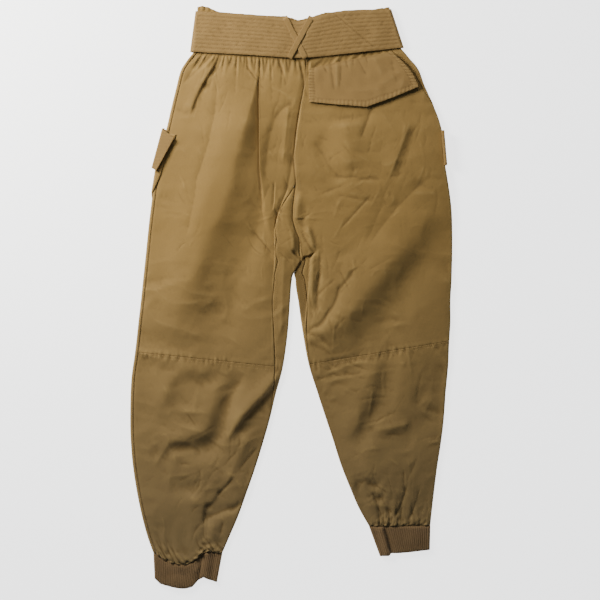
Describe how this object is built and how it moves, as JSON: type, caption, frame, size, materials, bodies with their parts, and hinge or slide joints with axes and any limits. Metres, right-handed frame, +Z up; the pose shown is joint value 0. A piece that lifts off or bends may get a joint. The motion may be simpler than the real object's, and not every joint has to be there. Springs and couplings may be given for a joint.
{
  "type": "paperbag waist trousers",
  "caption": "Cotton twill trousers laid flat, back side up: wide belted paperbag waist, crossed belt loop, flapped back and side pockets, seamed knees and ribbed cuffs.",
  "frame": {"origin": "under the middle of the garment as it lies, on the surface it lies on", "axes": "+X across the garment, towards the right-hand leg as the back is seen from above; +Y from the cuffs to the waist; +Z up from the surface, through the back side"},
  "size_m": [0.5426, 0.9768, 0.0201],
  "materials": {
    "twill": "washed cotton twill, soft and matte",
    "rib_knit": "matte cotton rib knit"
  },
  "bodies": {
    "root": {"back_left_upper": "twill", "back_left_lower": "twill", "back_right_upper": "twill", "back_right_lower": "twill", "front_left": "twill", "front_right": "twill", "waistband": "twill", "belt": "twill", "belt_loop_under": "twill", "belt_loop_over": "twill", "back_pocket_flap": "twill", "cargo_pocket_left": "twill", "cargo_flap_left": "twill", "cargo_pocket_right": "twill", "cargo_flap_right": "twill", "cuff_left": "rib_knit", "cuff_right": "rib_knit"}
  },
  "joints": []
}
